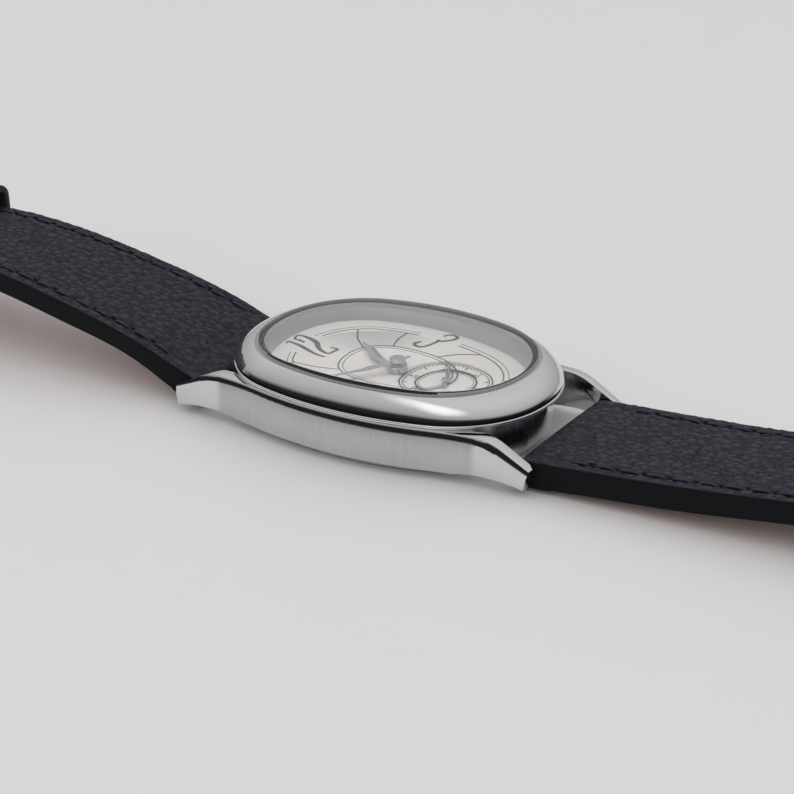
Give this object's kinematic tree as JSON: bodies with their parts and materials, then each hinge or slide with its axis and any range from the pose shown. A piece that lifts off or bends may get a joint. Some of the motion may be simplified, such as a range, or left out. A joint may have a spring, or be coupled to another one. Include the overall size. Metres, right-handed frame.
{
  "type": "wristwatch",
  "caption": "Oval wristwatch with a domed crystal, small seconds and lugs that flow out of the case, on a leather strap laid open with its pin buckle",
  "frame": {"origin": "centre of the underside of the case back, which the watch rests on", "axes": "+X to three o'clock and the crown, +Y to twelve o'clock along the strap, +Z out of the dial"},
  "size_m": [0.0328, 0.2429, 0.0149],
  "materials": {
    "case_steel": "brushed flanks with polished edges",
    "bezel_steel": "mirror polish",
    "crystal_glass": "clear, polished",
    "gasket": "matt",
    "dial_silver": "silvered, finely grained",
    "flange_silver": "satin",
    "screw_steel": "satin",
    "holder_plastic": "matt",
    "plate_brass": "satin",
    "bridge_steel": "striped",
    "wheel_brass": "satin",
    "pinion_steel": "polished",
    "hand_steel": "mirror polish",
    "strap_leather": "grained, satin",
    "lining_leather": "smooth, matt",
    "buckle_steel": "mirror polish"
  },
  "bodies": {
    "case": {"case_middle": "case_steel", "bezel": "bezel_steel", "crystal_gasket": "gasket", "crystal": "crystal_glass", "dial": "dial_silver", "dial_flange": "flange_silver", "case_back": "case_steel", "case_back_gasket": "gasket", "case_back_screws": "screw_steel", "movement_holder": "holder_plastic", "main_plate": "plate_brass", "barrel_bridge": "bridge_steel", "train_bridge": "bridge_steel", "balance_cock": "bridge_steel", "movement_screws": "screw_steel", "crown_tube": "pinion_steel", "lug_spring_bars": "pinion_steel"},
    "pinions": {"sliding_pinion": "pinion_steel", "winding_pinion": "pinion_steel"},
    "crown": {"crown": "bezel_steel", "winding_stem": "pinion_steel"},
    "crown_wheel": {"crown_wheel": "pinion_steel"},
    "ratchet": {"ratchet_wheel": "pinion_steel", "barrel_arbor": "pinion_steel"},
    "barrel": {"barrel": "wheel_brass", "mainspring": "pinion_steel"},
    "centre": {"centre_wheel": "wheel_brass", "cannon_pinion": "pinion_steel", "minute_hand": "hand_steel"},
    "third": {"third_wheel": "wheel_brass"},
    "seconds": {"seconds_wheel": "wheel_brass", "seconds_hand": "hand_steel"},
    "escape": {"escape_wheel": "pinion_steel"},
    "pallet": {"pallet_fork": "pinion_steel"},
    "balance": {"balance_wheel": "wheel_brass", "balance_spring": "pinion_steel"},
    "minute_wheel": {"minute_wheel": "wheel_brass"},
    "hour": {"hour_wheel": "wheel_brass", "hour_hand": "hand_steel"},
    "strap_twelve": {"strap_twelve_leather": "strap_leather", "strap_twelve_lining": "lining_leather", "fixed_keeper": "strap_leather"},
    "sliding_keeper": {"sliding_keeper": "strap_leather"},
    "buckle": {"buckle_frame": "buckle_steel", "buckle_bar": "pinion_steel"},
    "tongue": {"buckle_tongue": "buckle_steel"},
    "strap_six": {"strap_six_leather": "strap_leather", "strap_six_lining": "lining_leather"}
  },
  "joints": [
    {"name": "seconds_turn", "type": "hinge", "parent": "case", "child": "seconds", "pos_m": [0, -0.0064, 0.003], "axis": [0, 0, -1], "continuous": true},
    {"name": "minute_turn", "type": "hinge", "parent": "case", "child": "centre", "pos_m": [0, 0, 0.003], "axis": [0, 0, -1], "continuous": true},
    {"name": "hour_turn", "type": "hinge", "parent": "case", "child": "hour", "pos_m": [0, 0, 0.0047], "axis": [0, 0, -1], "continuous": true},
    {"name": "minute_wheel_turn", "type": "hinge", "parent": "case", "child": "minute_wheel", "pos_m": [0.0021, 0.00121, 0.0045], "axis": [0, 0, -1], "continuous": true},
    {"name": "third_turn", "type": "hinge", "parent": "case", "child": "third", "pos_m": [0.00269, -0.00364, 0.003], "axis": [0, 0, -1], "continuous": true},
    {"name": "barrel_turn", "type": "hinge", "parent": "case", "child": "barrel", "pos_m": [0.00144, 0.00536, 0.0032], "axis": [0, 0, -1], "continuous": true},
    {"name": "escape_turn", "type": "hinge", "parent": "case", "child": "escape", "pos_m": [-0.00333, -0.00761, 0.0033], "axis": [0, 0, -1], "continuous": true},
    {"name": "pallet_swing", "type": "hinge", "parent": "case", "child": "pallet", "pos_m": [-0.00471, -0.00571, 0.0033], "axis": [0, 0, -1], "range_deg": [-4, 4]},
    {"name": "balance_swing", "type": "hinge", "parent": "case", "child": "balance", "pos_m": [-0.007, -0.0026, 0.0027], "axis": [0, 0, -1], "range_deg": [-270, 270]},
    {"name": "crown_turn", "type": "hinge", "parent": "case", "child": "pinions", "pos_m": [0.008, 0, 0.0029], "axis": [1, 0, 0], "continuous": true},
    {"name": "crown_pull", "type": "slide", "parent": "pinions", "child": "crown", "axis": [1, 0, 0], "range_m": [0, 0.0009]},
    {"name": "crown_wheel_turn", "type": "hinge", "parent": "case", "child": "crown_wheel", "pos_m": [0.00583, 0, 0.0014], "axis": [0, 0, 1], "continuous": true},
    {"name": "ratchet_turn", "type": "hinge", "parent": "case", "child": "ratchet", "pos_m": [0.00144, 0.00536, 0.0014], "axis": [0, 0, 1], "continuous": true},
    {"name": "strap_twelve_swing", "type": "hinge", "parent": "case", "child": "strap_twelve", "pos_m": [0, 0.0224, 0.002], "axis": [1, 0, 0], "range_deg": [-80, 40]},
    {"name": "strap_six_swing", "type": "hinge", "parent": "case", "child": "strap_six", "pos_m": [0, -0.0224, 0.002], "axis": [-1, 0, 0], "range_deg": [-80, 40]},
    {"name": "keeper_slide", "type": "slide", "parent": "strap_twelve", "child": "sliding_keeper", "axis": [0, 0.9976, -0.0698], "range_m": [-0.003, 0.003]},
    {"name": "buckle_swing", "type": "hinge", "parent": "strap_twelve", "child": "buckle", "pos_m": [0, 0.093, 0.00145], "axis": [1, 0, 0], "range_deg": [-30, 30]},
    {"name": "tongue_swing", "type": "hinge", "parent": "buckle", "child": "tongue", "pos_m": [0, 0.093, 0.00145], "axis": [1, 0, 0], "range_deg": [0, 80]}
  ],
  "couplings": [
    {"joint": "minute_turn", "follows": "seconds_turn", "ratio": 0.016667},
    {"joint": "hour_turn", "follows": "seconds_turn", "ratio": 0.0013889},
    {"joint": "minute_wheel_turn", "follows": "seconds_turn", "ratio": -0.0055556},
    {"joint": "third_turn", "follows": "seconds_turn", "ratio": -0.13333},
    {"joint": "barrel_turn", "follows": "seconds_turn", "ratio": -0.0025},
    {"joint": "escape_turn", "follows": "seconds_turn", "ratio": -10},
    {"joint": "crown_wheel_turn", "follows": "crown_turn", "ratio": 0.41667},
    {"joint": "ratchet_turn", "follows": "crown_turn", "ratio": -0.22222}
  ]
}
